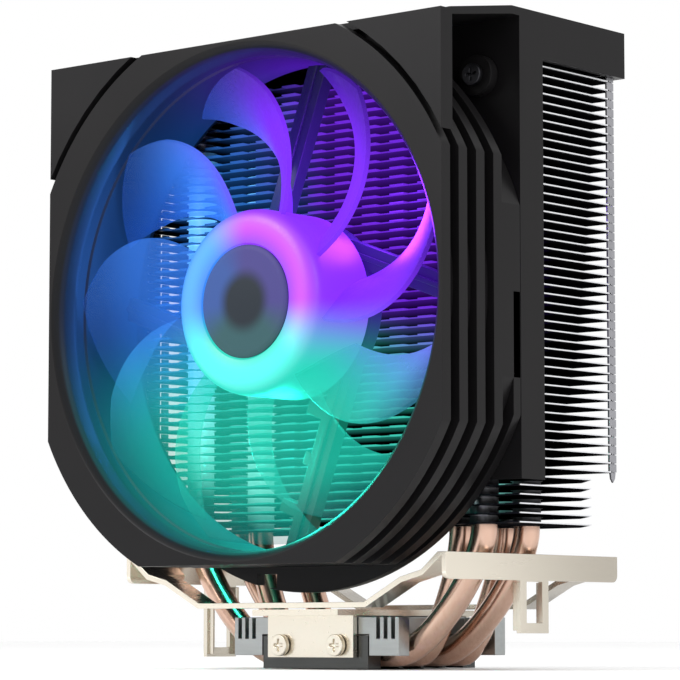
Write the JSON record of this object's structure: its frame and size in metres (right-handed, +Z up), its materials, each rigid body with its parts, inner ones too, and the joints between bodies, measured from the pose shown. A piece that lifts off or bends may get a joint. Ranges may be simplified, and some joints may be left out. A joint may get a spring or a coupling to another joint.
{
  "type": "cpu tower cooler",
  "caption": "Tower cooler with a finned stack on heat pipes, a lit axial fan in a black shroud, and a sprung mounting clip over a small contact base.",
  "frame": {"origin": "middle of the base's contact face", "axes": "+Z up the tower, -Y is the way the fan looks, +X across the fins"},
  "size_m": [0.12, 0.0805, 0.1476],
  "materials": {
    "black_plastic": "satin moulded black",
    "clear_plastic": "frosted translucent, lit from the hub",
    "hub_label": "satin dark disc",
    "bright_steel": "nickel-plated spring steel",
    "dark_steel": "blackened steel",
    "ferrite": "bonded ferrite",
    "copper": "polished copper",
    "winding": "enamelled copper wire",
    "aluminium": "bright rolled aluminium",
    "brass": "turned brass",
    "board": "green circuit board"
  },
  "bodies": {
    "cooler": {"fan_frame": "black_plastic", "bearing_tube": "brass", "stator_core": "dark_steel", "stator_coil_1": "winding", "stator_coil_2": "winding", "stator_coil_3": "winding", "stator_coil_4": "winding", "motor_board": "board", "shroud": "black_plastic", "fan_screw_1": "dark_steel", "fan_screw_2": "dark_steel", "fin_01": "aluminium", "fin_02": "aluminium", "fin_03": "aluminium", "fin_04": "aluminium", "fin_05": "aluminium", "fin_06": "aluminium", "fin_07": "aluminium", "fin_08": "aluminium", "fin_09": "aluminium", "fin_10": "aluminium", "fin_11": "aluminium", "fin_12": "aluminium", "fin_13": "aluminium", "fin_14": "aluminium", "fin_15": "aluminium", "fin_16": "aluminium", "fin_17": "aluminium", "fin_18": "aluminium", "heat_pipe_1": "copper", "heat_pipe_2": "copper", "heat_pipe_3": "copper", "heat_pipe_4": "copper", "base_plate": "aluminium", "base_cap": "aluminium", "clip_saddle": "bright_steel", "saddle_screw_1": "bright_steel", "saddle_screw_2": "bright_steel", "saddle_screw_3": "bright_steel", "saddle_screw_4": "bright_steel"},
    "rotor": {"impeller": "clear_plastic", "hub_disc": "hub_label", "motor_yoke": "dark_steel", "magnet_ring": "ferrite", "fan_shaft": "bright_steel"},
    "clip": {"spring_clip": "bright_steel"}
  },
  "joints": [
    {"name": "rotor_spin", "type": "hinge", "parent": "cooler", "child": "rotor", "pos_m": [0, -0.036, 0.0835], "axis": [0, 1, 0], "continuous": true},
    {"name": "clip_lift", "type": "slide", "parent": "cooler", "child": "clip", "axis": [0, 0, 1], "range_m": [0, 0.003]}
  ]
}
